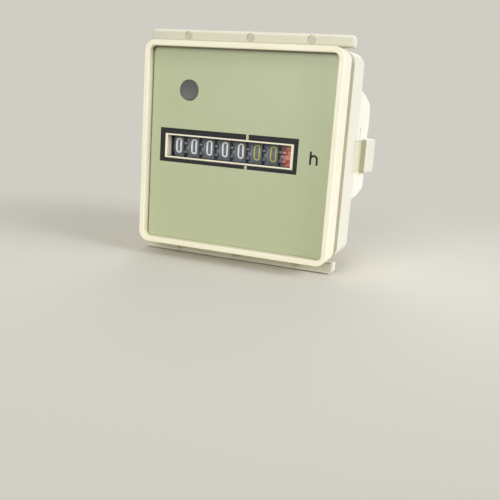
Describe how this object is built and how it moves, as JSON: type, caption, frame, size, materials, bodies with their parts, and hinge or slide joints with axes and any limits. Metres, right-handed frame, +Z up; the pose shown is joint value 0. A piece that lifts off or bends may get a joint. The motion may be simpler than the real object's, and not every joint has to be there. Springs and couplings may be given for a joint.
{
  "type": "hour meter",
  "caption": "Square panel hour meter with a sunk face, a rolling-wheel counter behind a window, a sliding clamp frame with spring ears, and rear blade terminals.",
  "frame": {"origin": "centre of the panel seat, the plane where the rear of the bezel meets the panel's front", "axes": "+X right and +Z up as read from the front, +Y back through the panel; the face looks along -Y"},
  "size_m": [0.0536, 0.0536, 0.054],
  "materials": {
    "case_cream": "fine matt moulding",
    "clamp_cream": "satin moulding",
    "face_green": "printed matt sheet",
    "lens_smoke": "smoked",
    "wheel_charcoal": "moulded",
    "run_red": "moulded",
    "pinion_grey": "moulded",
    "plated_steel": "zinc plated",
    "iron": "plated soft iron",
    "former_cream": "moulded",
    "copper_wire": "varnished wire",
    "board_green": "glass laminate",
    "film_red": "dipped",
    "can_blue": "sleeved",
    "chip_black": "moulded",
    "resistor_tan": "coated",
    "lamp_clear": "diffused",
    "blade_brass": "tinned brass"
  },
  "bodies": {
    "case": {"front_housing": "case_cream", "face_plate": "face_green", "indicator_lens": "lens_smoke", "rear_cover": "case_cream", "cover_screws": "plated_steel", "counter_frame": "plated_steel", "frame_screws": "plated_steel", "counter_shaft": "plated_steel", "pinion_shaft": "plated_steel", "magnet_yoke": "iron", "magnet_core": "iron", "magnet_screws": "plated_steel", "coil_former": "former_cream", "coil_winding": "copper_wire", "armature_pin": "plated_steel", "circuit_board": "board_green", "film_capacitor": "film_red", "smoothing_capacitor": "can_blue", "timer_chip": "chip_black", "dropper_resistor": "resistor_tan", "indicator_lamp": "lamp_clear", "terminal_blades": "blade_brass"},
    "clamp": {"clamp_frame": "clamp_cream"},
    "rocker": {"armature": "iron", "drive_pallet": "former_cream"},
    "run": {"run_wheel": "run_red"},
    "wheel_1": {"number_wheel_1": "wheel_charcoal"},
    "wheel_2": {"number_wheel_2": "wheel_charcoal"},
    "wheel_3": {"number_wheel_3": "wheel_charcoal"},
    "wheel_4": {"number_wheel_4": "wheel_charcoal"},
    "wheel_5": {"number_wheel_5": "wheel_charcoal"},
    "wheel_6": {"number_wheel_6": "wheel_charcoal"},
    "wheel_7": {"number_wheel_7": "wheel_charcoal"},
    "pinion_1": {"transfer_pinion_1": "pinion_grey"},
    "pinion_2": {"transfer_pinion_2": "pinion_grey"},
    "pinion_3": {"transfer_pinion_3": "pinion_grey"},
    "pinion_4": {"transfer_pinion_4": "pinion_grey"},
    "pinion_5": {"transfer_pinion_5": "pinion_grey"},
    "pinion_6": {"transfer_pinion_6": "pinion_grey"},
    "pinion_7": {"transfer_pinion_7": "pinion_grey"}
  },
  "joints": [
    {"name": "clamp_slide", "type": "slide", "parent": "case", "child": "clamp", "axis": [0, 1, 0], "range_m": [0, 0.01]},
    {"name": "armature_rock", "type": "hinge", "parent": "case", "child": "rocker", "pos_m": [0.00895, 0.03, 0], "axis": [0, 0, -1], "range_deg": [0, 2], "stiffness_Nm_per_rad": 0.02},
    {"name": "run_wheel_turn", "type": "hinge", "parent": "case", "child": "run", "pos_m": [0.0115, 0.0055, -0.0002], "axis": [1, 0, 0], "continuous": true},
    {"name": "wheel_1_turn", "type": "hinge", "parent": "case", "child": "wheel_1", "pos_m": [0.0081, 0.0055, -0.0002], "axis": [1, 0, 0], "continuous": true},
    {"name": "wheel_2_turn", "type": "hinge", "parent": "case", "child": "wheel_2", "pos_m": [0.00404, 0.0055, -0.0002], "axis": [1, 0, 0], "continuous": true},
    {"name": "wheel_3_turn", "type": "hinge", "parent": "case", "child": "wheel_3", "pos_m": [-0.00002, 0.0055, -0.0002], "axis": [1, 0, 0], "continuous": true},
    {"name": "wheel_4_turn", "type": "hinge", "parent": "case", "child": "wheel_4", "pos_m": [-0.00408, 0.0055, -0.0002], "axis": [1, 0, 0], "continuous": true},
    {"name": "wheel_5_turn", "type": "hinge", "parent": "case", "child": "wheel_5", "pos_m": [-0.00814, 0.0055, -0.0002], "axis": [1, 0, 0], "continuous": true},
    {"name": "wheel_6_turn", "type": "hinge", "parent": "case", "child": "wheel_6", "pos_m": [-0.0122, 0.0055, -0.0002], "axis": [1, 0, 0], "continuous": true},
    {"name": "wheel_7_turn", "type": "hinge", "parent": "case", "child": "wheel_7", "pos_m": [-0.01626, 0.0055, -0.0002], "axis": [1, 0, 0], "continuous": true},
    {"name": "pinion_1_turn", "type": "hinge", "parent": "case", "child": "pinion_1", "pos_m": [0.0098, 0.01133, -0.00715], "axis": [1, 0, 0], "continuous": true},
    {"name": "pinion_2_turn", "type": "hinge", "parent": "case", "child": "pinion_2", "pos_m": [0.00574, 0.01133, -0.00715], "axis": [1, 0, 0], "continuous": true},
    {"name": "pinion_3_turn", "type": "hinge", "parent": "case", "child": "pinion_3", "pos_m": [0.00168, 0.01133, -0.00715], "axis": [1, 0, 0], "continuous": true},
    {"name": "pinion_4_turn", "type": "hinge", "parent": "case", "child": "pinion_4", "pos_m": [-0.00238, 0.01133, -0.00715], "axis": [1, 0, 0], "continuous": true},
    {"name": "pinion_5_turn", "type": "hinge", "parent": "case", "child": "pinion_5", "pos_m": [-0.00644, 0.01133, -0.00715], "axis": [1, 0, 0], "continuous": true},
    {"name": "pinion_6_turn", "type": "hinge", "parent": "case", "child": "pinion_6", "pos_m": [-0.0105, 0.01133, -0.00715], "axis": [1, 0, 0], "continuous": true},
    {"name": "pinion_7_turn", "type": "hinge", "parent": "case", "child": "pinion_7", "pos_m": [-0.01456, 0.01133, -0.00715], "axis": [1, 0, 0], "continuous": true}
  ],
  "couplings": [
    {"joint": "wheel_1_turn", "follows": "run_wheel_turn", "ratio": 1},
    {"joint": "wheel_2_turn", "follows": "run_wheel_turn", "ratio": 0.1},
    {"joint": "wheel_3_turn", "follows": "run_wheel_turn", "ratio": 0.01},
    {"joint": "wheel_4_turn", "follows": "run_wheel_turn", "ratio": 0.001},
    {"joint": "wheel_5_turn", "follows": "run_wheel_turn", "ratio": 0.0001},
    {"joint": "wheel_6_turn", "follows": "run_wheel_turn", "ratio": 0.00001},
    {"joint": "wheel_7_turn", "follows": "run_wheel_turn", "ratio": 0.000001},
    {"joint": "pinion_1_turn", "follows": "run_wheel_turn", "ratio": -2.5},
    {"joint": "pinion_2_turn", "follows": "run_wheel_turn", "ratio": -0.25},
    {"joint": "pinion_3_turn", "follows": "run_wheel_turn", "ratio": -0.025},
    {"joint": "pinion_4_turn", "follows": "run_wheel_turn", "ratio": -0.0025},
    {"joint": "pinion_5_turn", "follows": "run_wheel_turn", "ratio": -0.00025},
    {"joint": "pinion_6_turn", "follows": "run_wheel_turn", "ratio": -0.000025},
    {"joint": "pinion_7_turn", "follows": "run_wheel_turn", "ratio": -0.0000025}
  ]
}
